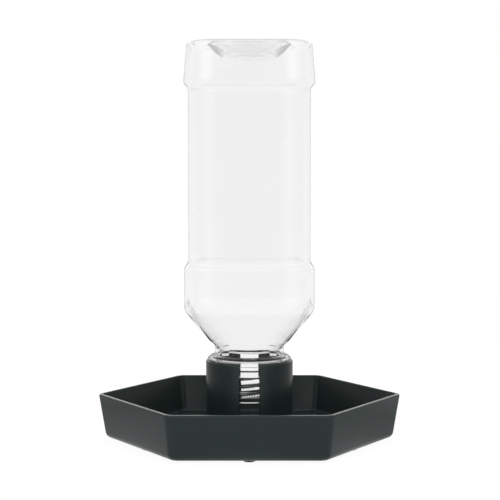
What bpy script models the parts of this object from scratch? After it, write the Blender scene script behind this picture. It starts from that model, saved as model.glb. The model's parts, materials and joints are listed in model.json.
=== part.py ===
"""Gravity drinker for poultry: a clear bottle stands neck down in the slotted socket of a six-sided tray.

Metres, +Z up. The origin is on the table under the middle of the tray, and -Y is the front.
"""
import math

import bmesh
import bpy
from mathutils import Matrix, Vector

# Tray
TRAY_ACROSS_FLATS = 0.1304
TRAY_HEIGHT = 0.022
TRAY_WALL = 0.0021
TRAY_FLOOR = 0.003
WALL_LEAN = 0.144
TRAY_CORNER_ROUND = 0.004
TRAY_EDGE_ROUND = 0.0033
TRAY_FLOOR_FILLET = 0.0015
RIM_ROUND = 0.0009

# Socket tower in the middle of the tray
SOCKET_WALL = 0.0024
SOCKET_SLOT = 0.0096
SOCKET_LIP_ROUND = 0.0009
SOCKET_ROOT_SHARE = 0.4

# Feet
FOOT_DIAMETER = 0.0066
FOOT_STANDOFF = 0.001
FOOT_SEAT = 0.0006
FOOT_FLAT_DIAMETER = 0.0032
FOOT_EDGE_DISTANCE = 0.0061

# Bottle neck finish
MOUTH_BELOW_RIM = 0.0022
FINISH_LENGTH = 0.0197
FINISH_DIAMETER = 0.0346
FINISH_WALL = 0.0014
MOUTH_ROUND = 0.0005
BEAD_DROP = 0.0055
BEAD_HEIGHT = 0.0026
BEAD_PROJECTION = 0.0012
THREAD_STARTS = 3
THREAD_LEAD = 0.0096
THREAD_FIRST_ANGLE = -146
THREAD_ABOVE_MOUTH = 0.0027
THREAD_BELOW_BEAD = 0.0015
THREAD_RIDGE_RADIUS = 0.001
THREAD_PROJECTION = 0.0012
FLANGE_PROJECTION = 0.00375
FLANGE_THICKNESS = 0.0013
FLANGE_ROUND = 0.0004

# Bottle body
NECK_DRAW_IN = 0.00025
NECK_LENGTH = 0.0064
SHOULDER_ANGLE = 38.3
SHOULDER_ROUND = 0.008
SHOULDER_CORNER = 0.0075
NECK_BLEND_HEIGHT = 0.0032
PANEL_WIDTH = 0.059
PANEL_HEIGHT = 0.080
LOWER_BAND_PROUD = 0.002
LOWER_BAND_HEIGHT = 0.0203
UPPER_BAND_PROUD = 0.0022
UPPER_BAND_HEIGHT = 0.0197
BAND_STEP_HEIGHT = 0.0049
BAND_STEP_ROUND = 0.003
BASE_DRAW_IN = 0.0017
BASE_ROUND = 0.0042
BASE_RIM = 0.0053
BODY_CORNER = 0.0125
PUNT_DEPTH = 0.0105
PUNT_WALL = 0.0018
BOTTLE_WALL = 0.0006

# Clearances
NECK_CLEARANCE = 0.0006
SEAT_GAP = 0.0003
FOOT_GAP = 0.0003

# Fineness of the round shapes
SOCKET_STEPS = 48
FOOT_STEPS = 16
FOOT_ARC_STEPS = 3
CORNER_STEPS = 6
TRAY_CORNER_STEPS = 4
TRAY_EDGE_STEPS = 3
TRAY_FILLET_STEPS = 2
FILLET_STEPS = 3
PUNT_STEPS = 5
RIDGE_STEP_ANGLE = 15
RIDGE_TAPER_STEPS = 3
SHARP_ANGLE = 35
MERGE_DISTANCE = 0.00001
CUT_OVERRUN = 0.005
ROUNDING_SHARE = 0.45
ROUND = math.inf

# Places that follow from the sizes
FOOT_SIDES = {
    "foot_front": -90,
    "foot_front_right": -30,
    "foot_rear_right": 30,
    "foot_rear": 90,
    "foot_rear_left": 150,
    "foot_front_left": 210,
}
TRAY_SIDES = len(FOOT_SIDES)
UNDERSIDE = FOOT_STANDOFF
FLOOR_TOP = UNDERSIDE + TRAY_FLOOR
RIM = UNDERSIDE + TRAY_HEIGHT
RIM_APOTHEM = TRAY_ACROSS_FLATS / 2
UNDERSIDE_APOTHEM = RIM_APOTHEM - WALL_LEAN * TRAY_HEIGHT
FOOT_RING = UNDERSIDE_APOTHEM - FOOT_EDGE_DISTANCE
FOOT_RECESS = FOOT_SEAT + FOOT_GAP
SEAT = RIM - MOUTH_BELOW_RIM + FINISH_LENGTH
SOCKET_TOP = SEAT - SEAT_GAP
SOCKET_BORE = FINISH_DIAMETER + 2 * (max(THREAD_PROJECTION, BEAD_PROJECTION) + NECK_CLEARANCE)
SOCKET_DIAMETER = SOCKET_BORE + 2 * SOCKET_WALL

TRAY_COLOUR = (0.030, 0.040, 0.039)
FOOT_COLOUR = (0.018, 0.020, 0.020)
BOTTLE_COLOUR = (0.93, 0.96, 0.96)


def clear_scene():
    for item in list(bpy.data.objects):
        bpy.data.objects.remove(item, do_unlink=True)


def new_collection(name):
    collection = bpy.data.collections.new(name)
    bpy.context.scene.collection.children.link(collection)
    return collection


def plastic(name, colour, roughness, clearness=0.0):
    material = bpy.data.materials.new(name)
    material.use_nodes = True
    shader = material.node_tree.nodes["Principled BSDF"]
    shader.inputs["Base Color"].default_value = (*colour, 1.0)
    shader.inputs["Roughness"].default_value = roughness
    shader.inputs["Metallic"].default_value = 0.0
    shader.inputs["Transmission Weight"].default_value = clearness
    return material


def place(bm, name, collection):
    """Make a named object of a finished bmesh and put it in its collection."""
    mesh = bpy.data.meshes.new(name)
    bm.to_mesh(mesh)
    bm.free()
    item = bpy.data.objects.new(name, mesh)
    collection.objects.link(item)
    return item


def hide_cutter(item):
    item.hide_render = True
    item.display_type = "WIRE"


def cut(item, cutter, operation):
    boolean = item.modifiers.new(f"{operation.lower()} {cutter.name}", "BOOLEAN")
    boolean.operation = operation
    boolean.solver = "EXACT"
    boolean.object = cutter


def shade_round(item):
    item.data.shade_smooth()
    item.data.set_sharp_from_angle(angle=math.radians(SHARP_ANGLE))


def turned(name, profile, steps, collection, closed):
    """Turn a profile of (radius, height) points, listed down its outer side, about the Z axis."""
    bm = bmesh.new()
    points = [bm.verts.new((radius, 0, height)) for radius, height in profile]
    for start, end in zip(points, points[1:]):
        bm.edges.new((start, end))
    if closed:
        bm.edges.new((points[-1], points[0]))
    item = place(bm, name, collection)
    screw = item.modifiers.new("turn", "SCREW")
    screw.steps = steps
    screw.render_steps = steps
    screw.use_merge_vertices = True
    screw.merge_threshold = MERGE_DISTANCE
    weld = item.modifiers.new("close the middle", "WELD")
    weld.merge_threshold = MERGE_DISTANCE
    return item


def round_edges(bm, edges, radius, inside_angle, segments):
    """Bevel edges to a radius, where the faces meet at inside_angle degrees."""
    reach = radius / math.tan(math.radians(inside_angle) / 2)
    bmesh.ops.bevel(
        bm,
        geom=edges,
        offset=reach,
        offset_type="OFFSET",
        segments=segments,
        profile=0.5,
        affect="EDGES",
        clamp_overlap=True,
    )


def edges_at(bm, height):
    """The edges that lie in one level plane."""
    return [
        edge
        for edge in bm.edges
        if all(abs(vert.co.z - height) < MERGE_DISTANCE for vert in edge.verts)
    ]


def make_basin(collection):
    """A leaning six-sided block, hollowed from its top by an inset and a drawn-in sink."""
    bm = bmesh.new()
    to_corner = 1 / math.cos(math.pi / TRAY_SIDES)
    bmesh.ops.create_cone(
        bm,
        cap_ends=True,
        segments=TRAY_SIDES,
        radius1=UNDERSIDE_APOTHEM * to_corner,
        radius2=RIM_APOTHEM * to_corner,
        depth=TRAY_HEIGHT,
        matrix=Matrix.Translation((0, 0, UNDERSIDE + TRAY_HEIGHT / 2))
        @ Matrix.Rotation(math.pi / TRAY_SIDES, 4, "Z"),
    )
    level = set(edges_at(bm, UNDERSIDE) + edges_at(bm, RIM))
    uprights = [edge for edge in bm.edges if edge not in level]
    round_edges(bm, uprights, TRAY_CORNER_ROUND, 180 - 360 / TRAY_SIDES, TRAY_CORNER_STEPS)

    top = max(bm.faces, key=lambda face: face.calc_center_median().z)
    bmesh.ops.inset_region(bm, faces=[top], thickness=TRAY_WALL, use_even_offset=True)
    sink = bmesh.ops.extrude_discrete_faces(bm, faces=[top])["faces"][0]
    depth = RIM - FLOOR_TOP
    draw_in = 1 - WALL_LEAN * depth / (RIM_APOTHEM - TRAY_WALL)
    for vert in sink.verts:
        vert.co = Vector((vert.co.x * draw_in, vert.co.y * draw_in, FLOOR_TOP))

    wall_angle = 90 + math.degrees(math.atan(WALL_LEAN))
    round_edges(bm, edges_at(bm, FLOOR_TOP), TRAY_FLOOR_FILLET, wall_angle, TRAY_FILLET_STEPS)
    round_edges(bm, edges_at(bm, UNDERSIDE), TRAY_EDGE_ROUND, wall_angle, TRAY_EDGE_STEPS)
    rim_round = min(RIM_ROUND, ROUNDING_SHARE * TRAY_WALL)
    round_edges(bm, edges_at(bm, RIM), rim_round, 90, TRAY_FILLET_STEPS)
    return place(bm, "tray", collection)


def make_socket(cutters):
    """The round tower, rooted in the tray's floor and slotted at the front and the rear."""
    outer = SOCKET_DIAMETER / 2
    inner = SOCKET_BORE / 2
    lip = min(SOCKET_LIP_ROUND, ROUNDING_SHARE * SOCKET_WALL)
    bottom = FLOOR_TOP - SOCKET_ROOT_SHARE * TRAY_FLOOR
    profile = [
        (outer - lip, SOCKET_TOP),
        (outer, SOCKET_TOP - lip),
        (outer, bottom),
        (inner, bottom),
        (inner, SOCKET_TOP - lip),
        (inner + lip, SOCKET_TOP),
    ]
    socket = turned("socket", profile, SOCKET_STEPS, cutters, closed=True)
    bm = bmesh.new()
    low = bottom - CUT_OVERRUN
    high = SOCKET_TOP + CUT_OVERRUN
    size = (SOCKET_SLOT, SOCKET_DIAMETER + 2 * CUT_OVERRUN, high - low)
    bmesh.ops.create_cube(bm, size=1, matrix=Matrix.Diagonal((*size, 1)))
    bmesh.ops.translate(bm, verts=bm.verts, vec=(0, 0, (low + high) / 2))
    slot = place(bm, "socket_slot", cutters)
    hide_cutter(slot)
    hide_cutter(socket)
    cut(socket, slot, "DIFFERENCE")
    return socket


def foot_place(side_angle):
    angle = math.radians(side_angle)
    return Vector((FOOT_RING * math.cos(angle), FOOT_RING * math.sin(angle), 0))


def make_foot_recesses(cutters):
    """Shallow round pockets in the underside, one under the middle of each side."""
    bm = bmesh.new()
    for side_angle in FOOT_SIDES.values():
        centre = foot_place(side_angle) + Vector((0, 0, UNDERSIDE + FOOT_RECESS - CUT_OVERRUN / 2))
        bmesh.ops.create_cone(
            bm,
            cap_ends=True,
            segments=FOOT_STEPS,
            radius1=FOOT_DIAMETER / 2 + FOOT_GAP,
            radius2=FOOT_DIAMETER / 2 + FOOT_GAP,
            depth=CUT_OVERRUN,
            matrix=Matrix.Translation(centre),
        )
    recesses = place(bm, "foot_recesses", cutters)
    hide_cutter(recesses)
    return recesses


def make_tray(parts, cutters):
    tray = make_basin(parts)
    cut(tray, make_socket(cutters), "UNION")
    cut(tray, make_foot_recesses(cutters), "DIFFERENCE")
    tray.data.materials.append(plastic("tray green-grey plastic", TRAY_COLOUR, 0.4))
    shade_round(tray)


def make_feet(parts):
    """Domed feet: a plug in the tray's pocket, and below it a round dome down to a small flat."""
    rubber = plastic("foot rubber", FOOT_COLOUR, 0.75)
    radius = FOOT_DIAMETER / 2
    flat = FOOT_FLAT_DIAMETER / 2
    profile = [(0, UNDERSIDE + FOOT_SEAT), (radius, UNDERSIDE + FOOT_SEAT)]
    for step in range(FOOT_ARC_STEPS + 1):
        angle = math.pi / 2 * step / FOOT_ARC_STEPS
        across = flat + (radius - flat) * math.cos(angle)
        profile.append((across, FOOT_STANDOFF * (1 - math.sin(angle))))
    profile.append((0, 0))
    for name, side_angle in FOOT_SIDES.items():
        foot = turned(name, profile, FOOT_STEPS, parts, closed=False)
        foot.location = foot_place(side_angle)
        foot.data.materials.append(rubber)
        shade_round(foot)


def rounded(corners):
    """Stations (half width, height, section corner) along an outline whose corners are rounded off.

    Each corner is (half width, height, section corner, radius).
    """
    places = [Vector(corner[:2]) for corner in corners]
    stations = []
    for number, (across, up, section_corner, radius) in enumerate(corners):
        if radius == 0:
            stations.append((across, up, section_corner))
            continue
        here = places[number]
        before = places[number - 1] - here
        after = places[number + 1] - here
        half_angle = before.angle(after) / 2
        reach = radius / math.tan(half_angle)
        reach = min(reach, ROUNDING_SHARE * before.length, ROUNDING_SHARE * after.length)
        fitted = reach * math.tan(half_angle)
        before.normalize()
        after.normalize()
        centre = here + (before + after).normalized() * fitted / math.sin(half_angle)
        spoke = here + before * reach - centre
        turn = spoke.angle_signed(here + after * reach - centre)
        for step in range(FILLET_STEPS + 1):
            point = centre + Matrix.Rotation(-turn * step / FILLET_STEPS, 2) @ spoke
            stations.append((point.x, point.y, section_corner))
    return stations


def ring(half_width, height, section_corner):
    """Points of a level section: a square with round corners, or a circle where they take it all up."""
    corner = min(section_corner, half_width)
    points = []
    for quarter in range(4):
        middle = math.radians(45 + 90 * quarter)
        out = (half_width - corner) * math.sqrt(2)
        for step in range(CORNER_STEPS + 1):
            angle = math.radians(90 * (quarter + step / CORNER_STEPS))
            across = out * math.cos(middle) + corner * math.cos(angle)
            along = out * math.sin(middle) + corner * math.sin(angle)
            points.append((across, along, height))
    return points


def loft(stations):
    """A closed skin through the sections, capped at both ends."""
    bm = bmesh.new()
    rings = [[bm.verts.new(point) for point in ring(*station)] for station in stations]
    for first, second in zip(rings, rings[1:]):
        for index in range(len(first)):
            bm.faces.new((first[index - 1], first[index], second[index], second[index - 1]))
    bm.faces.new(rings[0])
    bm.faces.new(reversed(rings[-1]))
    bmesh.ops.remove_doubles(bm, verts=bm.verts, dist=MERGE_DISTANCE)
    bmesh.ops.recalc_face_normals(bm, faces=bm.faces)
    return bm


def punt(edge, top, depth):
    """Stations of a round dome that sinks to depth below top, from its middle out to its edge."""
    dome = (edge**2 + depth**2) / (2 * depth)
    centre = top - depth + dome
    edge_angle = math.asin(edge / dome)
    stations = []
    for step in range(1, PUNT_STEPS + 1):
        angle = edge_angle * step / PUNT_STEPS
        stations.append((dome * math.sin(angle), centre - dome * math.cos(angle), ROUND, 0))
    return stations


def bottle_stations():
    """The bottle's outline in heights above its seat: base, outside, mouth, and back up the inside."""
    finish = FINISH_DIAMETER / 2
    bore = finish - FINISH_WALL
    bead = finish + BEAD_PROJECTION
    flange = finish + FLANGE_PROJECTION
    neck = finish - NECK_DRAW_IN
    panel = PANEL_WIDTH / 2
    lower_band = panel + LOWER_BAND_PROUD
    upper_band = panel + UPPER_BAND_PROUD
    base_half = upper_band - BASE_DRAW_IN
    punt_edge = base_half - BASE_ROUND - BASE_RIM

    mouth = -FINISH_LENGTH
    neck_top = FLANGE_THICKNESS + NECK_LENGTH
    shoulder_slope = math.tan(math.radians(SHOULDER_ANGLE))
    shoulder_low = neck_top + NECK_BLEND_HEIGHT
    shoulder_low_half = neck + NECK_BLEND_HEIGHT * shoulder_slope
    shoulder_top = neck_top + (lower_band - neck) / shoulder_slope
    lower_band_top = shoulder_top + LOWER_BAND_HEIGHT
    panel_low = lower_band_top + BAND_STEP_HEIGHT
    panel_top = panel_low + PANEL_HEIGHT
    upper_band_low = panel_top + BAND_STEP_HEIGHT
    base = upper_band_low + UPPER_BAND_HEIGHT

    def body(wall):
        """Corners from the base's edge down to the foot of the shoulder, one wall inside the outer face."""
        return [
            (base_half - wall, base - wall, BODY_CORNER - wall, BASE_ROUND - wall),
            (upper_band - wall, upper_band_low, BODY_CORNER - wall, BAND_STEP_ROUND),
            (panel - wall, panel_top, BODY_CORNER - wall, BAND_STEP_ROUND),
            (panel - wall, panel_low, BODY_CORNER - wall, BAND_STEP_ROUND),
            (lower_band - wall, lower_band_top, BODY_CORNER - wall, BAND_STEP_ROUND),
            (lower_band - wall, shoulder_top, BODY_CORNER - wall, SHOULDER_ROUND),
            (shoulder_low_half - wall, shoulder_low, SHOULDER_CORNER - wall, 0),
        ]

    outside = punt(punt_edge, base, PUNT_DEPTH)
    outside += body(0)
    outside += [
        (neck, neck_top, ROUND, 0),
        (neck, FLANGE_THICKNESS, ROUND, 0),
        (flange, FLANGE_THICKNESS, ROUND, FLANGE_ROUND),
        (flange, 0, ROUND, FLANGE_ROUND),
        (finish, 0, ROUND, 0),
        (finish, -BEAD_DROP + BEAD_HEIGHT / 2, ROUND, 0),
        (bead, -BEAD_DROP + BEAD_HEIGHT / 4, ROUND, 0),
        (bead, -BEAD_DROP - BEAD_HEIGHT / 4, ROUND, 0),
        (finish, -BEAD_DROP - BEAD_HEIGHT / 2, ROUND, 0),
        (finish, mouth, ROUND, MOUTH_ROUND),
    ]
    inner_base = base - BOTTLE_WALL
    inside = punt(punt_edge + BOTTLE_WALL, inner_base, PUNT_DEPTH + PUNT_WALL - BOTTLE_WALL)
    inside += body(BOTTLE_WALL)
    inside += [
        (bore, neck_top, ROUND, 0),
        (bore, mouth, ROUND, MOUTH_ROUND),
    ]
    return rounded(outside + inside[::-1])


def make_thread_ridge(number, cutters):
    """One helical ridge, its ends drawn down, made a closed mesh that the bottle is joined with."""
    path = bpy.data.curves.new(f"thread_ridge_{number}", "CURVE")
    path.dimensions = "3D"
    path.bevel_depth = THREAD_RIDGE_RADIUS
    path.bevel_resolution = 1
    path.use_fill_caps = True
    radius = FINISH_DIAMETER / 2 + THREAD_PROJECTION - THREAD_RIDGE_RADIUS
    low = -FINISH_LENGTH + THREAD_ABOVE_MOUTH
    high = -BEAD_DROP - BEAD_HEIGHT / 2 - THREAD_BELOW_BEAD
    full_turn = 360 * (high - low) / THREAD_LEAD
    first_angle = THREAD_FIRST_ANGLE + 360 * number / THREAD_STARTS
    steps = round(full_turn / RIDGE_STEP_ANGLE)
    spline = path.splines.new("POLY")
    spline.points.add(steps)
    for step, point in enumerate(spline.points):
        angle = math.radians(first_angle + full_turn * step / steps)
        height = low + (high - low) * step / steps
        point.co = (radius * math.cos(angle), radius * math.sin(angle), height, 1)
        point.radius = min(1, (1 + min(step, steps - step)) / RIDGE_TAPER_STEPS)
    curve = bpy.data.objects.new(path.name, path)
    cutters.objects.link(curve)
    bpy.context.view_layer.update()
    evaluated = curve.evaluated_get(bpy.context.evaluated_depsgraph_get())
    bm = bmesh.new()
    bm.from_mesh(bpy.data.meshes.new_from_object(evaluated))
    bpy.data.objects.remove(curve, do_unlink=True)
    bmesh.ops.remove_doubles(bm, verts=bm.verts, dist=MERGE_DISTANCE)
    ridge = place(bm, f"thread_ridge_{number}", cutters)
    hide_cutter(ridge)
    return ridge


def make_bottle(parts, cutters):
    bottle = place(loft(bottle_stations()), "bottle", parts)
    bottle.location = (0, 0, SEAT)
    for number in range(THREAD_STARTS):
        ridge = make_thread_ridge(number, cutters)
        ridge.location = bottle.location
        cut(bottle, ridge, "UNION")
    bottle.data.materials.append(plastic("bottle clear plastic", BOTTLE_COLOUR, 0.05, clearness=1.0))
    shade_round(bottle)


def main():
    clear_scene()
    parts = new_collection("poultry_waterer_fount")
    cutters = new_collection("cutters")
    make_tray(parts, cutters)
    make_feet(parts)
    make_bottle(parts, cutters)


main()
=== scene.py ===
"""Looks of the poultry waterer fount: a clear blown bottle, neck down in a dark six-sided tray.

Metres, +Z up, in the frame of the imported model. The front of the tray faces -Y.
"""
import json
import math

import bmesh
import bpy
from mathutils import Matrix, Vector

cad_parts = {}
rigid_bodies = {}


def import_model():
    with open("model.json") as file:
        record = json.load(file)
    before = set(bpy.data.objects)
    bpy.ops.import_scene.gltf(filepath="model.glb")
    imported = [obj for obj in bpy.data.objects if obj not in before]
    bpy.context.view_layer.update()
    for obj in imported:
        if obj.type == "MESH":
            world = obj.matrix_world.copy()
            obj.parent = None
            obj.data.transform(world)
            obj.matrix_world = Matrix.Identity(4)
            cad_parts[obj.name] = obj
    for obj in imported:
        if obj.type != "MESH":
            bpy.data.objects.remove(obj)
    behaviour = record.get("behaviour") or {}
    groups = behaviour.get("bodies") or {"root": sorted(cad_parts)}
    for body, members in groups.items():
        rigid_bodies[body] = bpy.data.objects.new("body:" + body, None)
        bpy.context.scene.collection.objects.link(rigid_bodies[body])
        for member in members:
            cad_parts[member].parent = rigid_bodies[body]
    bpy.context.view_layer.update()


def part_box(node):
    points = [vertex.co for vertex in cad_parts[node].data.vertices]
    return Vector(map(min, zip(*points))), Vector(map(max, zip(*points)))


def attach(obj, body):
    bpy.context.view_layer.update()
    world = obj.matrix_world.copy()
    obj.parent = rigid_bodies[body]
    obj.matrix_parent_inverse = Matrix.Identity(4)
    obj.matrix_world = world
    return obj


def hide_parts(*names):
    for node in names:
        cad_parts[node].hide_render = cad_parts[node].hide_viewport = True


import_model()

# Camera
CAMERA_PLACE = (0.0003, -0.794, 0.1477)
CAMERA_DOWN = 3.84
CAMERA_SENSOR = 36
CAMERA_LENS = 116.06
CAMERA_NEAR = 0.01

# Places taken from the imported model
TRAY_LOW, TRAY_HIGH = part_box("tray")
BOTTLE_LOW, BOTTLE_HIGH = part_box("bottle")
MOUTH = BOTTLE_LOW.z
BASE = BOTTLE_HIGH.z
SOCKET_TOP = TRAY_HIGH.z
UNDERSIDE = TRAY_LOW.z
RIM_APOTHEM = TRAY_HIGH.y

# Tray
TRAY_SIDES = 6
TRAY_HEIGHT = 0.022
TRAY_WALL = 0.0021
TRAY_FLOOR = 0.003
WALL_LEAN = 0.144
TRAY_CORNER_ROUND = 0.0055
TRAY_EDGE_ROUND = 0.0033
TRAY_FLOOR_FILLET = 0.0018
RIM_FALL = 0.00022
RIM_OUTER_ROUND = 0.0009
RIM_INNER_ROUND = 0.0004
RIM = UNDERSIDE + TRAY_HEIGHT
FLOOR_TOP = UNDERSIDE + TRAY_FLOOR

# Socket tower
SOCKET_WALL = 0.0024
SOCKET_BORE = 0.0382
SOCKET_SLOT = 0.0096
SOCKET_LIP_ROUND = 0.0011
SOCKET_FLARE = 0.0009
SOCKET_FLARE_ROUND = 0.9 * SOCKET_FLARE
SOCKET_SLOT_ROUND = 0.0004
SOCKET_ROOT = 0.0012

# Feet
FOOT_NODES = [
    "foot_front",
    "foot_front_right",
    "foot_rear_right",
    "foot_rear",
    "foot_rear_left",
    "foot_front_left",
]
FOOT_FLAT = 0.0016
FOOT_GAP = 0.0003
FOOT_DOME = 0.001
FOOT_INSET = FOOT_FLAT / 3

# Bottle, from its base at the top down to its mouth
PANEL_HALF = 0.0295
BODY_CORNER = 0.0125
UPPER_BAND_HALF = PANEL_HALF + 0.0022
LOWER_BAND_HALF = PANEL_HALF + 0.0020
BASE_HALF = UPPER_BAND_HALF - 0.0017
BASE_ROUND = 0.0042
BASE_RIM = 0.0053
PUNT_DEPTH = 0.0090
PUNT_WALL = 0.0025
BAND_STEP = 0.0023
UPPER_BAND_LOW = BASE - 0.0206
PANEL_TOP = UPPER_BAND_LOW - BAND_STEP
PANEL_LOW = PANEL_TOP - 0.0842
PANEL_MIDDLE = (PANEL_LOW + PANEL_TOP) / 2
LOWER_BAND_TOP = PANEL_LOW - BAND_STEP
SHOULDER_TOP = LOWER_BAND_TOP - 0.0204
SHOULDER_ROUND = 0.008
STEP_ROUND = 0.0027
FINISH_HALF = 0.0173
FINISH_LENGTH = 0.0197
FINISH_WALL = 0.00115
SEAT = MOUTH + FINISH_LENGTH
FLANGE_HALF = FINISH_HALF + 0.0033
FLANGE_TOP_HALF = FINISH_HALF + 0.0018
FLANGE_EDGE = 0.0006
FLANGE_THICKNESS = 0.0020
FLANGE_ROUND = 0.0003
FLANGE_TOP_ROUND = 0.0010
NECK_HALF = FINISH_HALF - 0.00025
NECK_TOP = SEAT + 0.0070
NECK_BLEND = 0.0034
NECK_SOFT = 0.0015
NECK_ROUND = 0.0005
BORE = FINISH_HALF - FINISH_WALL
BEAD_TOP = SEAT - 0.0039
BEAD_LOW = BEAD_TOP - 0.0032
BEAD_PROUD = 0.0012
BEAD_LOW_PROUD = 0.0005
BEAD_EDGE = 0.0004
BEAD_ROUND = 0.0002
MOUTH_ROUND = 0.0005
MOUTH_LIP = 0.0015
BOTTLE_WALL = 0.00035
SEAM_WIDTH = 0.0006
SEAM_PROUD = 0.00003
THREAD_STARTS = 3
THREAD_LEAD = 0.0100
THREAD_FRONT = MOUTH + 0.0049
THREAD_LOW = MOUTH + 0.0020
THREAD_HIGH = BEAD_LOW + 0.0006
THREAD_END_SHARE = 0.35
# The section of the thread's ridges: (out, up) from the wall's face and the crest
THREAD_SECTION = [
    (-0.0008, -0.0018),
    (0, -0.0018),
    (0.0008, 0),
    (0.0007, 0.0003),
    (0, 0.0006),
    (-0.0008, 0.0006),
]
# Angles along the thread, in degrees
THREAD_REACH = 150
THREAD_END_LENGTH = 30
THREAD_STEP = 4

# Fineness: steps of the round stretches, and the angles past which an edge stays sharp
CORNER_STEPS = 20
FLAT_CUTS = 15
SEAM_STEPS = 2
ARC_STEPS = 8
DOME_STEPS = 30
BLEND_STEPS = 12
TRAY_CORNER_STEPS = 10
TRAY_EDGE_STEPS = 10
TRAY_FLOOR_STEPS = 6
RIM_OUTER_STEPS = 8
RIM_INNER_STEPS = 4
SOCKET_LIP_STEPS = 6
SOCKET_FLARE_STEPS = 4
SOCKET_SLOT_STEPS = 3
RING_STEPS = 96
FOOT_STEPS = 40
TRAY_CREASE = 35
FOOT_CREASE = 40
BOTTLE_CREASE = 45

# Outlines: how far the support points lie beside an arc, the most of an edge that a rounding takes, and the
# distance within which points count as level
SUPPORT = 0.0006
ROUNDING_SHARE = 0.45
NEAR = 0.00001

# Finishes: the mottle runs between two colours and two roughnesses, and the grain gives a fine bump
GRAIN_DETAIL = 3.0
MOTTLE_DETAIL = 4.0
MOTTLE_RANGE = (0.3, 0.7)
TRAY_COLOURS = [(0.0140, 0.0262, 0.0254), (0.0170, 0.0308, 0.0298)]
TRAY_ROUGHNESS = (0.21, 0.27)
TRAY_SPECULAR = 0.32
TRAY_HAZE = 0.22
TRAY_HAZE_ROUGHNESS = 0.6
TRAY_SCALES = {"Grain Scale": 2600.0, "Mottle Scale": 70.0}
TRAY_BUMP = {"Strength": 0.25, "Distance": 0.00004}
FOOT_COLOURS = [(0.012, 0.013, 0.013), (0.020, 0.022, 0.022)]
FOOT_ROUGHNESS = (0.65, 0.8)
FOOT_SCALES = {"Grain Scale": 1800.0, "Mottle Scale": 400.0}
FOOT_BUMP = {"Strength": 0.4, "Distance": 0.00006}
BOTTLE_COLOURS = [(0.992, 0.992, 0.992), (1.0, 1.0, 1.0)]
BOTTLE_IOR = 1.5
BOTTLE_SCALES = {"Grain Scale": 70.0, "Mottle Scale": 25.0}
BOTTLE_BUMP = {"Strength": 0.03, "Distance": 0.0002}
# How often light may turn inside the bottle's walls before it is lost
CLEAR_WALL_TURNS = 48

# Studio: how bright its parts are to the eye, straight through the bottle, after a turn inside its walls,
# in reflections and as light on a surface. By compass angle, a scale runs from the back, 0, to the front,
# 180 degrees.
WHITE_SEEN = 1.0
AMBIENT = 0.42
WHITE_THROUGH = 0.99
TURNED_BY_ANGLE = [(0, 1.0), (50, 1.0), (80, 0.55), (110, 0.35), (140, 0.15), (180, 0.15)]
TURNED_OVERHEAD = 0.6
OVERHEAD_FROM = 0.12
OVERHEAD_TO = 0.5
GLOSS_BY_ANGLE = [
    (0, 0.5), (40, 0.45), (62, 0.3), (105, 0.2), (118, 0.25),
    (130, 0.3), (146, 1.0), (160, 1.1), (175, 1.0), (178.5, 0.3), (180, 0.22),
]
HIGH_GLOSS_BY_ANGLE = [
    (0, 2.0), (20, 2.0), (42, 0.4), (105, 0.25), (118, 0.4),
    (130, 0.8), (146, 2.0), (160, 2.1), (175, 2.0), (178.5, 0.4), (180, 0.22),
]
ABOVE_GLOSS_BY_ANGLE = [(0, 2.0), (20, 2.0), (42, 0.6), (105, 0.6), (135, 0.5), (150, 0.15), (180, 0.1)]
UPPER_GLOSS_BY_ANGLE = [(0, 0.5), (35, 0.5), (110, 0.8), (128, 1.8), (165, 1.6), (180, 0.8)]
ZENITH_GLOSS_BY_ANGLE = [(0, 0.5), (180, 0.5)]
# Above the plain scale, each layer of reflections takes over between two heights of the ray's direction.
GLOSS_LAYERS = [
    (0.20, 0.22, HIGH_GLOSS_BY_ANGLE),
    (0.305, 0.325, ABOVE_GLOSS_BY_ANGLE),
    (0.34, 0.44, UPPER_GLOSS_BY_ANGLE),
    (0.88, 0.95, ZENITH_GLOSS_BY_ANGLE),
]
FLOOR_COLOUR = 0.12
FLOOR_LIGHT = 0.05
FLOOR_BOUNCE = 0.7
FLOOR_SIZE = 2000
FLOOR_NEAR_END = 0.45
# How bright the floor shows in reflections, by distance from the middle: a painted shade just outside the
# tray, lighter further out, dimmer far away
FLOOR_GLOSS = [(0, 0.9), (0.056, 0.9), (0.075, 0.46), (0.3, 0.52), (FLOOR_NEAR_END, 0.25)]
FLOOR_FAR_START = 0.6
# Round painted shadows on the floor beside the tray, seen only in its reflections: middle and reach
PAINTED_FLOOR_SHADOWS = [((0.105, 0.02, 0), 0.080), ((-0.125, 0.035, 0), 0.065)]

# Lamps: name, compass angle from the front, distance, height, width and height of the face, radiance
SOFTBOXES = [
    ("softbox left", -38, 0.85, 0.35, (0.28, 0.75), 0.9),
    ("softbox right", 38, 0.85, 0.35, (0.28, 0.75), 0.9),
    ("softbox top", 180, 0.2, 0.9, (0.6, 0.6), 1.5),
]
LAMP_AIM = (0, 0, 0.1)


def deselect_all():
    for item in bpy.data.objects:
        item.select_set(False)


def activate(item):
    """Select this object alone."""
    deselect_all()
    item.select_set(True)
    bpy.context.view_layer.objects.active = item


def edit(item):
    activate(item)
    bpy.ops.object.mode_set(mode="EDIT")


def leave():
    bpy.ops.object.mode_set(mode="OBJECT")


def named_new(name):
    """Name the object that was just added, with its place applied to its mesh."""
    item = bpy.context.object
    item.name = name
    item.data.name = name
    bpy.ops.object.transform_apply(location=True, rotation=True, scale=True)
    return item


def pick(item, kind, test):
    """Select the vertices, edges or faces whose points all pass the test."""
    bpy.ops.mesh.select_mode(type=kind)
    bpy.ops.mesh.select_all(action="DESELECT")
    bm = bmesh.from_edit_mesh(item.data)
    group = {"VERT": bm.verts, "EDGE": bm.edges, "FACE": bm.faces}[kind]
    for part in group:
        points = [part.co] if kind == "VERT" else [vert.co for vert in part.verts]
        part.select = test(points)
    bm.select_flush_mode()
    bmesh.update_edit_mesh(item.data)


def level(height):
    """Test that points lie in one level plane."""
    return lambda points: all(abs(point.z - height) < NEAR for point in points)


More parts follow.
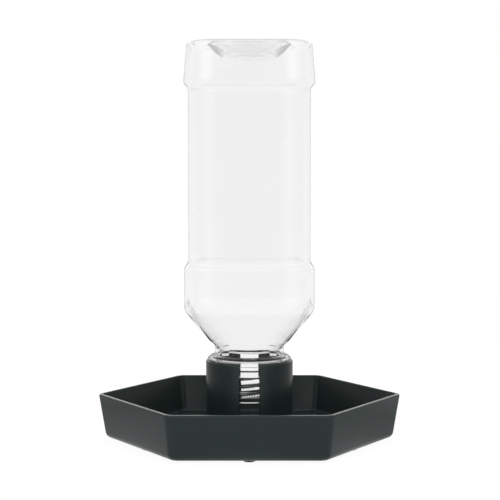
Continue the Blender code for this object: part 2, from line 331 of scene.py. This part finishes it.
def upright(points):
    """Test that an edge runs up a wall."""
    return abs(points[0].z - points[-1].z) > TRAY_HEIGHT / 2


def bevel_edges(radius, inside_angle, steps):
    """Round the selected edges, where the faces meet at inside_angle degrees."""
    reach = radius / math.tan(math.radians(inside_angle) / 2)
    bpy.ops.mesh.bevel(offset=reach, offset_type="OFFSET", segments=steps, affect="EDGES")


def round_corners(reach, steps):
    """Round an outline at the selected points."""
    bpy.ops.mesh.bevel(offset=reach, offset_type="OFFSET", segments=steps, affect="VERTICES")


def selected_points(item):
    return [vert.co for vert in bmesh.from_edit_mesh(item.data).verts if vert.select]


def extrude_to(item, half_width, height, roundness=0):
    """Extrude the selected loop to a new height and half width, rounding it towards a circle on the way."""
    rise = height - selected_points(item)[0].z
    bpy.ops.mesh.extrude_region_move(TRANSFORM_OT_translate={"value": (0, 0, rise)})
    if roundness:
        bpy.ops.transform.tosphere(value=roundness)
    grow = half_width / max(point.x for point in selected_points(item))
    bpy.ops.transform.resize(value=(grow, grow, 1), center_override=(0, 0, height))


def close_pole():
    bpy.ops.mesh.extrude_region_move()
    bpy.ops.mesh.merge(type="CENTER")


def tidy_normals():
    bpy.ops.mesh.select_all(action="SELECT")
    bpy.ops.mesh.remove_doubles(threshold=NEAR / 2)
    bpy.ops.mesh.normals_make_consistent(inside=False)


def apply_boolean(item, other, operation):
    boolean = item.modifiers.new(operation.lower(), "BOOLEAN")
    boolean.operation = operation
    boolean.solver = "EXACT"
    boolean.object = other
    activate(item)
    bpy.ops.object.modifier_apply(modifier=boolean.name)
    bpy.data.objects.remove(other, do_unlink=True)


def join(items):
    deselect_all()
    for item in items:
        item.select_set(True)
    bpy.context.view_layer.objects.active = items[0]
    bpy.ops.object.join()
    return items[0]


def smooth(item, angle):
    activate(item)
    bpy.ops.object.shade_smooth_by_angle(angle=math.radians(angle))


def arc_path(corners):
    """Points (half width, height) along an outline whose corners, given with radii, are rounded off.

    A support point on each side of an arc keeps the straight stretches straight in smooth shading.
    """
    places = [Vector(corner[:2]) for corner in corners]
    path = []
    for number, (across, up, radius) in enumerate(corners):
        if radius == 0:
            path.append((across, up))
            continue
        here = places[number]
        before = places[number - 1] - here
        after = places[number + 1] - here
        room = ROUNDING_SHARE * min(before.length, after.length)
        half_angle = before.angle(after) / 2
        reach = min(radius / math.tan(half_angle), room)
        before.normalize()
        after.normalize()
        centre = here + (before + after).normalized() * reach / math.cos(half_angle)
        spoke = here + before * reach - centre
        turn = spoke.angle_signed(here + after * reach - centre)
        lead = min(SUPPORT, room - reach)
        if lead > NEAR:
            path.append(tuple(here + before * (reach + lead)))
        for step in range(ARC_STEPS + 1):
            path.append(tuple(centre + Matrix.Rotation(-turn * step / ARC_STEPS, 2) @ spoke))
        if lead > NEAR:
            path.append(tuple(here + after * (reach + lead)))
    return path


def panel_loop(name, half_width, corner):
    """A level round-cornered square loop at the middle of the panel, with the mould's two seams."""
    deselect_all()
    bpy.ops.mesh.primitive_plane_add(size=2 * half_width, location=(0, 0, PANEL_MIDDLE))
    item = named_new(name)
    edit(item)
    bpy.ops.mesh.select_all(action="SELECT")
    round_corners(corner, CORNER_STEPS)
    bpy.ops.mesh.delete(type="ONLY_FACE")
    pick(item, "EDGE", lambda points: (points[0] - points[1]).length > corner / 2)
    bpy.ops.mesh.subdivide(number_cuts=FLAT_CUTS)
    draw_seams(item)
    bpy.ops.mesh.select_all(action="SELECT")
    return item


def draw_seams(item):
    """Pull a narrow ridge out of the front right and the rear left corner, where the mould's halves met."""
    def on_seam(points):
        return abs(points[0].x + points[0].y) < NEAR

    pick(item, "VERT", on_seam)
    round_corners(SEAM_WIDTH / 2, SEAM_STEPS)
    pick(item, "VERT", on_seam)
    reach = selected_points(item)[0].xy.length
    grow = (reach + SEAM_PROUD) / reach
    bpy.ops.transform.resize(value=(grow, grow, 1), center_override=(0, 0, PANEL_MIDDLE))


def follow(item, path):
    for half_width, height in path:
        extrude_to(item, half_width, height)


def dome_path(edge, top, depth):
    """Points of a round dome that sinks to depth below top, from its edge to near its middle."""
    radius = (edge**2 + depth**2) / (2 * depth)
    edge_angle = math.asin(edge / radius)
    path = []
    for step in range(1, DOME_STEPS):
        angle = edge_angle * (1 - step / DOME_STEPS)
        path.append((radius * math.sin(angle), top - depth + radius * (1 - math.cos(angle))))
    return path


def step_shift(wall, band_half):
    """How far a step's inner corners lie along the wall from its outer ones, for an even wall."""
    return wall * math.tan(math.atan2(band_half - PANEL_HALF, BAND_STEP) / 2)


def body_up(wall):
    """Outline from the panel up to the base's flat rim, one wall inside the outer face."""
    shift = step_shift(wall, UPPER_BAND_HALF)
    return arc_path([
        (PANEL_HALF - wall, PANEL_MIDDLE, 0),
        (PANEL_HALF - wall, PANEL_TOP + shift, STEP_ROUND + wall),
        (UPPER_BAND_HALF - wall, UPPER_BAND_LOW + shift, STEP_ROUND - wall),
        (BASE_HALF - wall, BASE - wall, BASE_ROUND - wall),
        (BASE_HALF - BASE_ROUND - BASE_RIM / 2, BASE - wall, 0),
    ])[1:]


def body_down(wall, foot_wall):
    """Outline from the panel down to the foot of the shoulder, where the wall is foot_wall thick."""
    shift = step_shift(wall, LOWER_BAND_HALF)
    slope = math.atan2(LOWER_BAND_HALF - NECK_HALF, SHOULDER_TOP - NECK_TOP)
    foot_half = NECK_HALF + NECK_BLEND * math.tan(slope)
    return arc_path([
        (PANEL_HALF - wall, PANEL_MIDDLE, 0),
        (PANEL_HALF - wall, PANEL_LOW - shift, STEP_ROUND + wall),
        (LOWER_BAND_HALF - wall, LOWER_BAND_TOP - shift, STEP_ROUND - wall),
        (LOWER_BAND_HALF - wall, SHOULDER_TOP + wall * math.tan(slope / 2), SHOULDER_ROUND - wall),
        (foot_half - foot_wall / math.cos(slope), NECK_TOP + NECK_BLEND, 0),
    ])[1:]


def blend_to_round(item, half_width):
    """Draw the shoulder's square foot in to the round neck, on a curve that runs out along its wall."""
    foot = Vector((max(point.x for point in selected_points(item)), selected_points(item)[0].z))
    bend = Vector((half_width, NECK_TOP))
    end = Vector((half_width, NECK_TOP - NECK_SOFT))
    for step in range(1, BLEND_STEPS + 1):
        share = step / BLEND_STEPS
        across, up = foot.lerp(bend, share).lerp(bend.lerp(end, share), share)
        extrude_to(item, across, up, roundness=1 / (BLEND_STEPS + 1 - step))


def finish_path():
    """Outline from the neck down over flange and bead to the mouth, and round its lip into the bore."""
    return arc_path([
        (NECK_HALF, NECK_TOP - NECK_SOFT, 0),
        (NECK_HALF, SEAT + FLANGE_THICKNESS, NECK_ROUND),
        (FLANGE_TOP_HALF, SEAT + FLANGE_THICKNESS, FLANGE_TOP_ROUND),
        (FLANGE_HALF, SEAT + FLANGE_EDGE, FLANGE_ROUND),
        (FLANGE_HALF, SEAT, FLANGE_ROUND),
        (FINISH_HALF, SEAT, NECK_ROUND),
        (FINISH_HALF, BEAD_TOP, BEAD_ROUND),
        (FINISH_HALF + BEAD_PROUD, BEAD_TOP - BEAD_EDGE, BEAD_ROUND),
        (FINISH_HALF + BEAD_LOW_PROUD, BEAD_LOW + BEAD_EDGE, BEAD_ROUND),
        (FINISH_HALF, BEAD_LOW, BEAD_ROUND),
        (FINISH_HALF, MOUTH, MOUTH_ROUND),
        (BORE, MOUTH, MOUTH_ROUND),
        (BORE, MOUTH + MOUTH_LIP, 0),
    ])[1:]


def outer_skin():
    item = panel_loop("bottle_shell", PANEL_HALF, BODY_CORNER)
    follow(item, body_up(0))
    punt_edge = BASE_HALF - BASE_ROUND - BASE_RIM
    extrude_to(item, punt_edge, BASE, roundness=1)
    follow(item, dome_path(punt_edge, BASE, PUNT_DEPTH))
    close_pole()
    pick(item, "EDGE", level(PANEL_MIDDLE))
    follow(item, body_down(0, 0))
    blend_to_round(item, NECK_HALF)
    follow(item, finish_path())
    leave()
    return item


def inner_skin():
    item = panel_loop("bottle_inside", PANEL_HALF - BOTTLE_WALL, BODY_CORNER - BOTTLE_WALL)
    follow(item, body_up(BOTTLE_WALL))
    punt_edge = BASE_HALF - BASE_ROUND - BASE_RIM + BOTTLE_WALL
    extrude_to(item, punt_edge, BASE - BOTTLE_WALL, roundness=1)
    follow(item, dome_path(punt_edge, BASE - BOTTLE_WALL, PUNT_DEPTH + PUNT_WALL - BOTTLE_WALL))
    close_pole()
    pick(item, "EDGE", level(PANEL_MIDDLE))
    follow(item, body_down(BOTTLE_WALL, NECK_HALF - BORE))
    blend_to_round(item, BORE)
    extrude_to(item, BORE, SEAT)
    leave()
    return item


def thread_section():
    """The section of the thread's ridges, as a flat closed curve."""
    curve = bpy.data.curves.new("thread_section", "CURVE")
    curve.dimensions = "2D"
    spline = curve.splines.new("POLY")
    spline.use_cyclic_u = True
    spline.points.add(len(THREAD_SECTION) - 1)
    for point, (out, up) in zip(spline.points, THREAD_SECTION):
        point.co = (out, up, 0, 1)
    section = bpy.data.objects.new(curve.name, curve)
    bpy.context.scene.collection.objects.link(section)
    return section


def thread_curve(number, section):
    """The section swept along one start of the thread, with drawn-down ends and a vent gap at the rear."""
    path = bpy.data.curves.new(f"thread_ridge_{number}", "CURVE")
    path.dimensions = "3D"
    path.twist_mode = "Z_UP"
    path.bevel_mode = "OBJECT"
    path.bevel_object = section
    path.use_fill_caps = True
    middle = THREAD_FRONT + number * THREAD_LEAD / THREAD_STARTS
    rise = THREAD_LEAD / 360
    first = max(-THREAD_REACH, (THREAD_LOW - middle) / rise)
    last = min(THREAD_REACH, (THREAD_HIGH - middle) / rise)
    steps = round((last - first) / THREAD_STEP)
    spline = path.splines.new("POLY")
    spline.points.add(steps)
    for step, point in enumerate(spline.points):
        turn = first + (last - first) * step / steps
        angle = math.radians(turn - 90)
        across, deep = FINISH_HALF * math.cos(angle), FINISH_HALF * math.sin(angle)
        point.co = (across, deep, middle + turn * rise, 1)
        from_end = min(turn - first, last - turn) / THREAD_END_LENGTH
        point.radius = math.sqrt(min(1, THREAD_END_SHARE**2 + from_end))
    ridge = bpy.data.objects.new(path.name, path)
    bpy.context.scene.collection.objects.link(ridge)
    return ridge


def thread_ridge(number, section):
    ridge = thread_curve(number, section)
    activate(ridge)
    bpy.ops.object.convert(target="MESH")
    edit(ridge)
    tidy_normals()
    leave()
    return ridge


def bridge_skins(shell):
    """Close the gap between the two skins, inside the mouth."""
    edit(shell)
    bpy.ops.mesh.select_mode(type="EDGE")
    bpy.ops.mesh.select_all(action="DESELECT")
    bpy.ops.mesh.select_non_manifold(
        use_wire=False,
        use_multi_face=False,
        use_non_contiguous=False,
        use_verts=False,
    )
    bpy.ops.mesh.bridge_edge_loops()
    bpy.ops.mesh.select_all(action="SELECT")
    bpy.ops.mesh.normals_make_consistent(inside=False)
    leave()


def make_bottle():
    shell = join([outer_skin(), inner_skin()])
    bridge_skins(shell)
    section = thread_section()
    ridges = join([thread_ridge(number, section) for number in range(THREAD_STARTS)])
    bpy.data.objects.remove(section, do_unlink=True)
    apply_boolean(shell, ridges, "UNION")
    smooth(shell, BOTTLE_CREASE)
    return shell


def leaning_block():
    """A six-sided block with leaning sides and rounded uprights."""
    deselect_all()
    to_corner = 1 / math.cos(math.pi / TRAY_SIDES)
    bpy.ops.mesh.primitive_cylinder_add(
        vertices=TRAY_SIDES,
        radius=RIM_APOTHEM * to_corner,
        depth=TRAY_HEIGHT,
        location=(0, 0, UNDERSIDE + TRAY_HEIGHT / 2),
        rotation=(0, 0, math.pi / TRAY_SIDES),
    )
    item = named_new("tray_shell")
    edit(item)
    pick(item, "FACE", level(UNDERSIDE))
    draw_in = 1 - WALL_LEAN * TRAY_HEIGHT / RIM_APOTHEM
    bpy.ops.transform.resize(value=(draw_in, draw_in, 1), center_override=(0, 0, UNDERSIDE))
    pick(item, "EDGE", upright)
    bevel_edges(TRAY_CORNER_ROUND, 180 - 360 / TRAY_SIDES, TRAY_CORNER_STEPS)
    return item


def sink_basin(item):
    """Sink the block from its top down to the floor, and let its rim fall outwards."""
    pick(item, "FACE", level(RIM))
    bpy.ops.mesh.inset(thickness=TRAY_WALL, use_even_offset=True)
    depth = RIM - FLOOR_TOP
    draw_in = 1 - WALL_LEAN * depth / (RIM_APOTHEM - TRAY_WALL)
    bpy.ops.mesh.extrude_region_move(TRANSFORM_OT_translate={"value": (0, 0, -depth)})
    bpy.ops.transform.resize(value=(draw_in, draw_in, 1), center_override=(0, 0, FLOOR_TOP))

    pick(item, "EDGE", rim_edge(RIM, outer=True))
    bpy.ops.transform.translate(value=(0, 0, -RIM_FALL))


def round_basin(item):
    lean = math.degrees(math.atan(WALL_LEAN))
    fall = math.degrees(math.atan(RIM_FALL / TRAY_WALL))
    for test, radius, angle, steps in (
        (level(FLOOR_TOP), TRAY_FLOOR_FILLET, 90 + lean, TRAY_FLOOR_STEPS),
        (level(UNDERSIDE), TRAY_EDGE_ROUND, 90 + lean, TRAY_EDGE_STEPS),
        (rim_edge(RIM - RIM_FALL, outer=True), RIM_OUTER_ROUND, 90 - lean + fall, RIM_OUTER_STEPS),
        (rim_edge(RIM, outer=False), RIM_INNER_ROUND, 90 + lean - fall, RIM_INNER_STEPS),
    ):
        pick(item, "EDGE", test)
        bevel_edges(radius, angle, steps)


def make_basin():
    """A leaning six-sided basin with every edge rounded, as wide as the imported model's."""
    item = leaning_block()
    sink_basin(item)
    round_basin(item)
    bpy.ops.mesh.select_all(action="SELECT")
    stretch = TRAY_HIGH.x / max(point.x for point in selected_points(item))
    bpy.ops.transform.resize(value=(stretch, 1, 1), center_override=(0, 0, 0))
    leave()
    return item


def rim_edge(height, outer):
    """Test that an edge is on the outer, or on the inner, edge of the rim, at this height."""
    def reach(point):
        sides = [2 * math.pi * side / TRAY_SIDES for side in range(TRAY_SIDES)]
        return max(point.x * math.sin(angle) + point.y * math.cos(angle) for angle in sides)

    def test(points):
        on_side = all((reach(point) > RIM_APOTHEM - TRAY_WALL / 2) == outer for point in points)
        return on_side and level(height)(points)

    return test


def tower_section():
    """The outline that the socket's wall is turned from, with a rounded lip and a flared root."""
    outer = SOCKET_BORE / 2 + SOCKET_WALL
    root = FLOOR_TOP + SOCKET_FLARE
    deselect_all()
    bpy.ops.mesh.primitive_plane_add(
        size=1,
        location=(outer - SOCKET_WALL / 2, 0, (root + SOCKET_TOP) / 2),
        rotation=(math.pi / 2, 0, 0),
    )
    bpy.context.object.scale = (SOCKET_WALL, SOCKET_TOP - root, 1)
    item = named_new("socket_tower")
    edit(item)
    pick(item, "EDGE", level(root))
    bpy.ops.mesh.extrude_region_move(TRANSFORM_OT_translate={"value": (0, 0, -SOCKET_FLARE)})
    widen = 1 + 2 * SOCKET_FLARE / SOCKET_WALL
    middle = outer - SOCKET_WALL / 2
    bpy.ops.transform.resize(value=(widen, 1, 1), center_override=(middle, 0, FLOOR_TOP))
    bpy.ops.mesh.extrude_region_move(TRANSFORM_OT_translate={"value": (0, 0, -SOCKET_ROOT)})
    bpy.ops.mesh.select_all(action="SELECT")
    bpy.ops.mesh.dissolve_faces()
    pick(item, "VERT", level(SOCKET_TOP))
    round_corners(SOCKET_LIP_ROUND, SOCKET_LIP_STEPS)
    pick(item, "VERT", level(root))
    round_corners(SOCKET_FLARE_ROUND, SOCKET_FLARE_STEPS)
    bpy.ops.mesh.select_all(action="SELECT")
    bpy.ops.mesh.delete(type="ONLY_FACE")
    return item


def make_tower():
    """The slotted socket: its section turned round, and the wall cut away at front and rear."""
    item = tower_section()
    bpy.ops.mesh.select_all(action="SELECT")
    bpy.ops.mesh.spin(steps=RING_STEPS, angle=2 * math.pi, center=(0, 0, 0), axis=(0, 0, 1))
    tidy_normals()
    cut = SOCKET_SLOT / 2
    bpy.ops.mesh.bisect(plane_co=(cut, 0, 0), plane_no=(1, 0, 0), use_fill=True, clear_inner=True)
    pick(item, "EDGE", lambda points: all(abs(point.x - cut) < NEAR for point in points))
    bevel_edges(SOCKET_SLOT_ROUND, 90, SOCKET_SLOT_STEPS)
    tidy_normals()
    leave()
    mirror = item.modifiers.new("other half", "MIRROR")
    mirror.use_axis = (True, False, False)
    mirror.merge_threshold = NEAR
    bpy.ops.object.modifier_apply(modifier=mirror.name)
    return item


def foot_pockets():
    """Round pockets in the tray's underside, which the feet sit in."""
    pockets = []
    for node in FOOT_NODES:
        low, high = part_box(node)
        deselect_all()
        bpy.ops.mesh.primitive_cylinder_add(
            vertices=FOOT_STEPS,
            radius=(high.x - low.x) / 2 + FOOT_GAP,
            depth=high.z + FOOT_GAP + UNDERSIDE,
            location=((low.x + high.x) / 2, (low.y + high.y) / 2, (high.z + FOOT_GAP - UNDERSIDE) / 2),
        )
        pockets.append(named_new(f"pocket_{node}"))
    return join(pockets)


def make_tray():
    shell = make_basin()
    apply_boolean(shell, make_tower(), "UNION")
    apply_boolean(shell, foot_pockets(), "DIFFERENCE")
    smooth(shell, TRAY_CREASE)
    return shell


def model_foot(node):
    """A plug for the tray's pocket, and below it a round dome down to a small flat, on the middle axis."""
    low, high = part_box(node)
    radius = (high.x - low.x) / 2
    deselect_all()
    bpy.ops.mesh.primitive_circle_add(
        vertices=FOOT_STEPS,
        radius=radius,
        fill_type="NGON",
        location=(0, 0, high.z),
    )
    item = named_new("foot_model")
    edit(item)
    bpy.ops.mesh.select_all(action="SELECT")
    extrude_to(item, radius, low.z + FOOT_DOME)
    for step in range(1, ARC_STEPS + 1):
        angle = math.pi / 2 * step / ARC_STEPS
        across = FOOT_FLAT + (radius - FOOT_FLAT) * math.cos(angle)
        extrude_to(item, across, low.z + FOOT_DOME * (1 - math.sin(angle)))
    bpy.ops.mesh.inset(thickness=FOOT_INSET)
    tidy_normals()
    leave()
    smooth(item, FOOT_CREASE)
    return item


def make_feet():
    """A copy of one foot for each node, with its own mesh, at the node's place."""
    model = model_foot(FOOT_NODES[0])
    feet = {}
    for node in FOOT_NODES:
        low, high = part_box(node)
        activate(model)
        bpy.ops.object.duplicate()
        bpy.context.object.location = ((low.x + high.x) / 2, (low.y + high.y) / 2, 0)
        feet[node] = named_new(node.replace("foot", "pad"))
    bpy.data.objects.remove(model, do_unlink=True)
    return feet


def new_material(name):
    material = bpy.data.materials.new(name)
    material.use_nodes = True
    return material, material.node_tree.nodes, material.node_tree.links


def grain_group():
    """Fine moulded grain: a height for the surface, and a slow mottle for colour and gloss."""
    group = bpy.data.node_groups.new("moulded grain", "ShaderNodeTree")
    for name in ("Grain Scale", "Mottle Scale"):
        group.interface.new_socket(name, in_out="INPUT", socket_type="NodeSocketFloat")
    for name in ("Height", "Mottle"):
        group.interface.new_socket(name, in_out="OUTPUT", socket_type="NodeSocketFloat")
    nodes, links = group.nodes, group.links
    given, result = nodes.new("NodeGroupInput"), nodes.new("NodeGroupOutput")
    place = nodes.new("ShaderNodeTexCoord")
    for socket, output, detail in (
        ("Grain Scale", "Height", GRAIN_DETAIL),
        ("Mottle Scale", "Mottle", MOTTLE_DETAIL),
    ):
        noise = nodes.new("ShaderNodeTexNoise")
        noise.inputs["Detail"].default_value = detail
        links.new(place.outputs["Object"], noise.inputs["Vector"])
        links.new(given.outputs[socket], noise.inputs["Scale"])
        links.new(noise.outputs["Fac"], result.inputs[output])
    return group


def place_group(nodes, group, values):
    node = nodes.new("ShaderNodeGroup")
    node.node_tree = group
    for name, value in values.items():
        node.inputs[name].default_value = value
    return node


def blend_colours(nodes, links, factor, colours):
    mix = nodes.new("ShaderNodeMix")
    mix.data_type = "RGBA"
    for name, colour in zip("AB", colours):
        mix.inputs[name].default_value = (*colour, 1)
    links.new(factor, mix.inputs["Factor"])
    return mix.outputs["Result"]


def map_range(nodes, links, value, start, end, low=0, high=1):
    """A value that is low where the given one is at start, and high where it is at end."""
    node = nodes.new("ShaderNodeMapRange")
    for name, number in (("From Min", start), ("From Max", end), ("To Min", low), ("To Max", high)):
        node.inputs[name].default_value = number
    links.new(value, node.inputs["Value"])
    return node.outputs["Result"]


def moulded_finish(name, grain, scales, colours, bump_values):
    """A material with mottled colour and fine grain, with its shader and its mottle."""
    material, nodes, links = new_material(name)
    shader = nodes["Principled BSDF"]
    texture = place_group(nodes, grain, scales)
    mottle = texture.outputs["Mottle"]
    links.new(blend_colours(nodes, links, mottle, colours), shader.inputs["Base Color"])
    bump = nodes.new("ShaderNodeBump")
    for socket, value in bump_values.items():
        bump.inputs[socket].default_value = value
    links.new(texture.outputs["Height"], bump.inputs["Height"])
    links.new(bump.outputs["Normal"], shader.inputs["Normal"])
    return material, shader, mottle


def mottle_roughness(material, shader, mottle, roughness):
    nodes, links = material.node_tree.nodes, material.node_tree.links
    links.new(map_range(nodes, links, mottle, *MOTTLE_RANGE, *roughness), shader.inputs["Roughness"])


def tray_material(grain):
    """Dark satin plastic under a faint hazy skin."""
    name = "tray green-grey plastic"
    material, shader, mottle = moulded_finish(name, grain, TRAY_SCALES, TRAY_COLOURS, TRAY_BUMP)
    mottle_roughness(material, shader, mottle, TRAY_ROUGHNESS)
    shader.inputs["Specular IOR Level"].default_value = TRAY_SPECULAR
    shader.inputs["Coat Weight"].default_value = TRAY_HAZE
    shader.inputs["Coat Roughness"].default_value = TRAY_HAZE_ROUGHNESS
    return material


def foot_material(grain):
    material, shader, mottle = moulded_finish("foot rubber", grain, FOOT_SCALES, FOOT_COLOURS, FOOT_BUMP)
    mottle_roughness(material, shader, mottle, FOOT_ROUGHNESS)
    return material


def bottle_material(grain):
    name = "bottle clear plastic"
    material, shader, _ = moulded_finish(name, grain, BOTTLE_SCALES, BOTTLE_COLOURS, BOTTLE_BUMP)
    shader.inputs["Transmission Weight"].default_value = 1.0
    shader.inputs["Metallic"].default_value = 0.0
    shader.inputs["Roughness"].default_value = 0.0
    shader.inputs["IOR"].default_value = BOTTLE_IOR
    return material


def dress(item, material, body, node):
    item.data.materials.clear()
    item.data.materials.append(material)
    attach(item, body)
    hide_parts(node)


def add_camera():
    data = bpy.data.cameras.new("camera")
    data.sensor_width = CAMERA_SENSOR
    data.lens = CAMERA_LENS
    data.clip_start = CAMERA_NEAR
    camera = bpy.data.objects.new("camera", data)
    camera.location = CAMERA_PLACE
    camera.rotation_euler = (math.radians(90 - CAMERA_DOWN), 0, 0)
    bpy.context.scene.collection.objects.link(camera)
    bpy.context.scene.camera = camera


def add_softbox(name, azimuth, distance, height, size, radiance):
    """A soft rectangular lamp that looks at the object and isn't mirrored in it. Azimuth 0 is in front."""
    data = bpy.data.lights.new(name, "AREA")
    data.shape = "RECTANGLE"
    data.size, data.size_y = size
    data.energy = radiance * math.pi * size[0] * size[1]
    lamp = bpy.data.objects.new(name, data)
    angle = math.radians(azimuth)
    lamp.location = (distance * math.sin(angle), -distance * math.cos(angle), height)
    aim = Vector(LAMP_AIM) - lamp.location
    lamp.rotation_euler = aim.to_track_quat("-Z", "Y").to_euler()
    lamp.visible_glossy = False
    lamp.visible_transmission = False
    bpy.context.scene.collection.objects.link(lamp)


def ramp(nodes, links, value, stops):
    """A smooth grey scale along a value, from stops of (place, brightness)."""
    node = nodes.new("ShaderNodeValToRGB")
    elements = node.color_ramp.elements
    while len(elements) < len(stops):
        elements.new(0.5)
    for element, (place, grey) in zip(elements, stops):
        element.position = place
        element.color = (grey, grey, grey, 1)
    links.new(value, node.inputs["Fac"])
    return node.outputs["Color"]


def split_place(nodes, links, coordinate):
    place = nodes.new("ShaderNodeTexCoord")
    split = nodes.new("ShaderNodeSeparateXYZ")
    links.new(place.outputs[coordinate], split.inputs["Vector"])
    return split.outputs


def distance_from(nodes, links, centre):
    place = nodes.new("ShaderNodeTexCoord")
    distance = nodes.new("ShaderNodeVectorMath")
    distance.operation = "DISTANCE"
    distance.inputs[1].default_value = centre
    links.new(place.outputs["Object"], distance.inputs[0])
    return distance.outputs["Value"]


def by_angle(nodes, links, place, stops):
    """A grey scale by compass angle from the back, the same on the left and on the right."""
    angle = nodes.new("ShaderNodeMath")
    angle.operation = "ARCTAN2"
    links.new(place["X"], angle.inputs[0])
    links.new(place["Y"], angle.inputs[1])
    size = nodes.new("ShaderNodeMath")
    size.operation = "ABSOLUTE"
    links.new(angle.outputs[0], size.inputs[0])
    share = map_range(nodes, links, size.outputs[0], 0, math.pi)
    return ramp(nodes, links, share, [(degrees / 180, grey) for degrees, grey in stops])


def mix_greys(nodes, links, factor, first, second):
    """Blend two brightnesses, each a plain number or a socket."""
    mix = nodes.new("ShaderNodeMix")
    mix.data_type = "RGBA"
    links.new(factor, mix.inputs["Factor"])
    for name, value in (("A", first), ("B", second)):
        if isinstance(value, float):
            mix.inputs[name].default_value = (value, value, value, 1)
        else:
            links.new(value, mix.inputs[name])
    return mix.outputs["Result"]


def by_ray(nodes, links, seen, through, turned, gloss, otherwise):
    """Brightness by the kind of ray.

    It is the eye's own, goes straight through the bottle, comes through it after a reflection in its walls,
    is a plain reflection, or is light on a surface.
    """
    light_path = nodes.new("ShaderNodeLightPath")
    reflected = map_range(nodes, links, light_path.outputs["Glossy Depth"], 0, 1)
    through = mix_greys(nodes, links, reflected, through, turned)
    result = otherwise
    for ray, value in (("Is Glossy Ray", gloss), ("Is Transmission Ray", through), ("Is Camera Ray", seen)):
        result = mix_greys(nodes, links, light_path.outputs[ray], result, value)
    return result


def add_world():
    """White around the object, for the eye and straight through the bottle.

    Reflections show a dark gap straight in front, where the camera is, between two wide soft bright sides.
    """
    world = bpy.data.worlds.new("studio")
    world.use_nodes = True
    bpy.context.scene.world = world
    nodes, links = world.node_tree.nodes, world.node_tree.links
    place = split_place(nodes, links, "Generated")
    overhead = map_range(nodes, links, place["Z"], OVERHEAD_FROM, OVERHEAD_TO)
    turned = by_angle(nodes, links, place, TURNED_BY_ANGLE)
    turned = mix_greys(nodes, links, overhead, turned, TURNED_OVERHEAD)
    gloss = by_angle(nodes, links, place, GLOSS_BY_ANGLE)
    for start, end, stops in GLOSS_LAYERS:
        above = map_range(nodes, links, place["Z"], start, end)
        gloss = mix_greys(nodes, links, above, gloss, by_angle(nodes, links, place, stops))
    colour = by_ray(nodes, links, WHITE_SEEN, WHITE_THROUGH, turned, gloss, AMBIENT)
    links.new(colour, nodes["Background"].inputs["Color"])


def add_floor():
    deselect_all()
    bpy.ops.mesh.primitive_plane_add(size=FLOOR_SIZE, location=(0, 0, 0))
    floor = named_new("floor")
    material, nodes, links = new_material("pale floor")
    shader = nodes["Principled BSDF"]
    shader.inputs["Base Color"].default_value = (FLOOR_COLOUR, FLOOR_COLOUR, FLOOR_COLOUR, 1)
    shader.inputs["Roughness"].default_value = 1.0
    shader.inputs["Specular IOR Level"].default_value = 0.0
    place = split_place(nodes, links, "Object")
    from_middle = distance_from(nodes, links, (0, 0, 0))
    near = map_range(nodes, links, from_middle, 0, FLOOR_NEAR_END)
    # the floor's reflected brightness by distance, with painted shade just outside the tray
    near = ramp(nodes, links, near, [(reach / FLOOR_NEAR_END, grey) for reach, grey in FLOOR_GLOSS])
    # painted shadows beside the tray, darkening the floor only where it shows in reflections
    for middle, reach in PAINTED_FLOOR_SHADOWS:
        shade = map_range(nodes, links, distance_from(nodes, links, middle), reach, -reach)
        near = mix_greys(nodes, links, shade, near, 0.0)
    away = map_range(nodes, links, from_middle, FLOOR_NEAR_END, FLOOR_FAR_START)
    gloss = mix_greys(nodes, links, away, near, by_angle(nodes, links, place, GLOSS_BY_ANGLE))
    turned = by_angle(nodes, links, place, [(angle, grey - FLOOR_LIGHT) for angle, grey in TURNED_BY_ANGLE])
    seen, through = WHITE_SEEN - FLOOR_LIGHT, WHITE_THROUGH - FLOOR_LIGHT
    colour = by_ray(nodes, links, seen, through, turned, gloss, FLOOR_BOUNCE)
    links.new(colour, shader.inputs["Emission Color"])
    shader.inputs["Emission Strength"].default_value = 1.0
    floor.data.materials.append(material)


def allow_clear_walls():
    """Let light pass and turn often enough to find its way out of the bottle's walls."""
    cycles = bpy.context.scene.cycles
    cycles.max_bounces = CLEAR_WALL_TURNS
    cycles.glossy_bounces = CLEAR_WALL_TURNS
    cycles.transmission_bounces = CLEAR_WALL_TURNS


def main():
    grain = grain_group()
    add_camera()
    dress(make_tray(), tray_material(grain), "base", "tray")
    rubber = foot_material(grain)
    for node, foot in make_feet().items():
        dress(foot, rubber, "base", node)
    dress(make_bottle(), bottle_material(grain), "fount_bottle", "bottle")
    add_world()
    add_floor()
    for lamp in SOFTBOXES:
        add_softbox(*lamp)
    bpy.context.scene.view_settings.view_transform = "Standard"
    allow_clear_walls()


main()
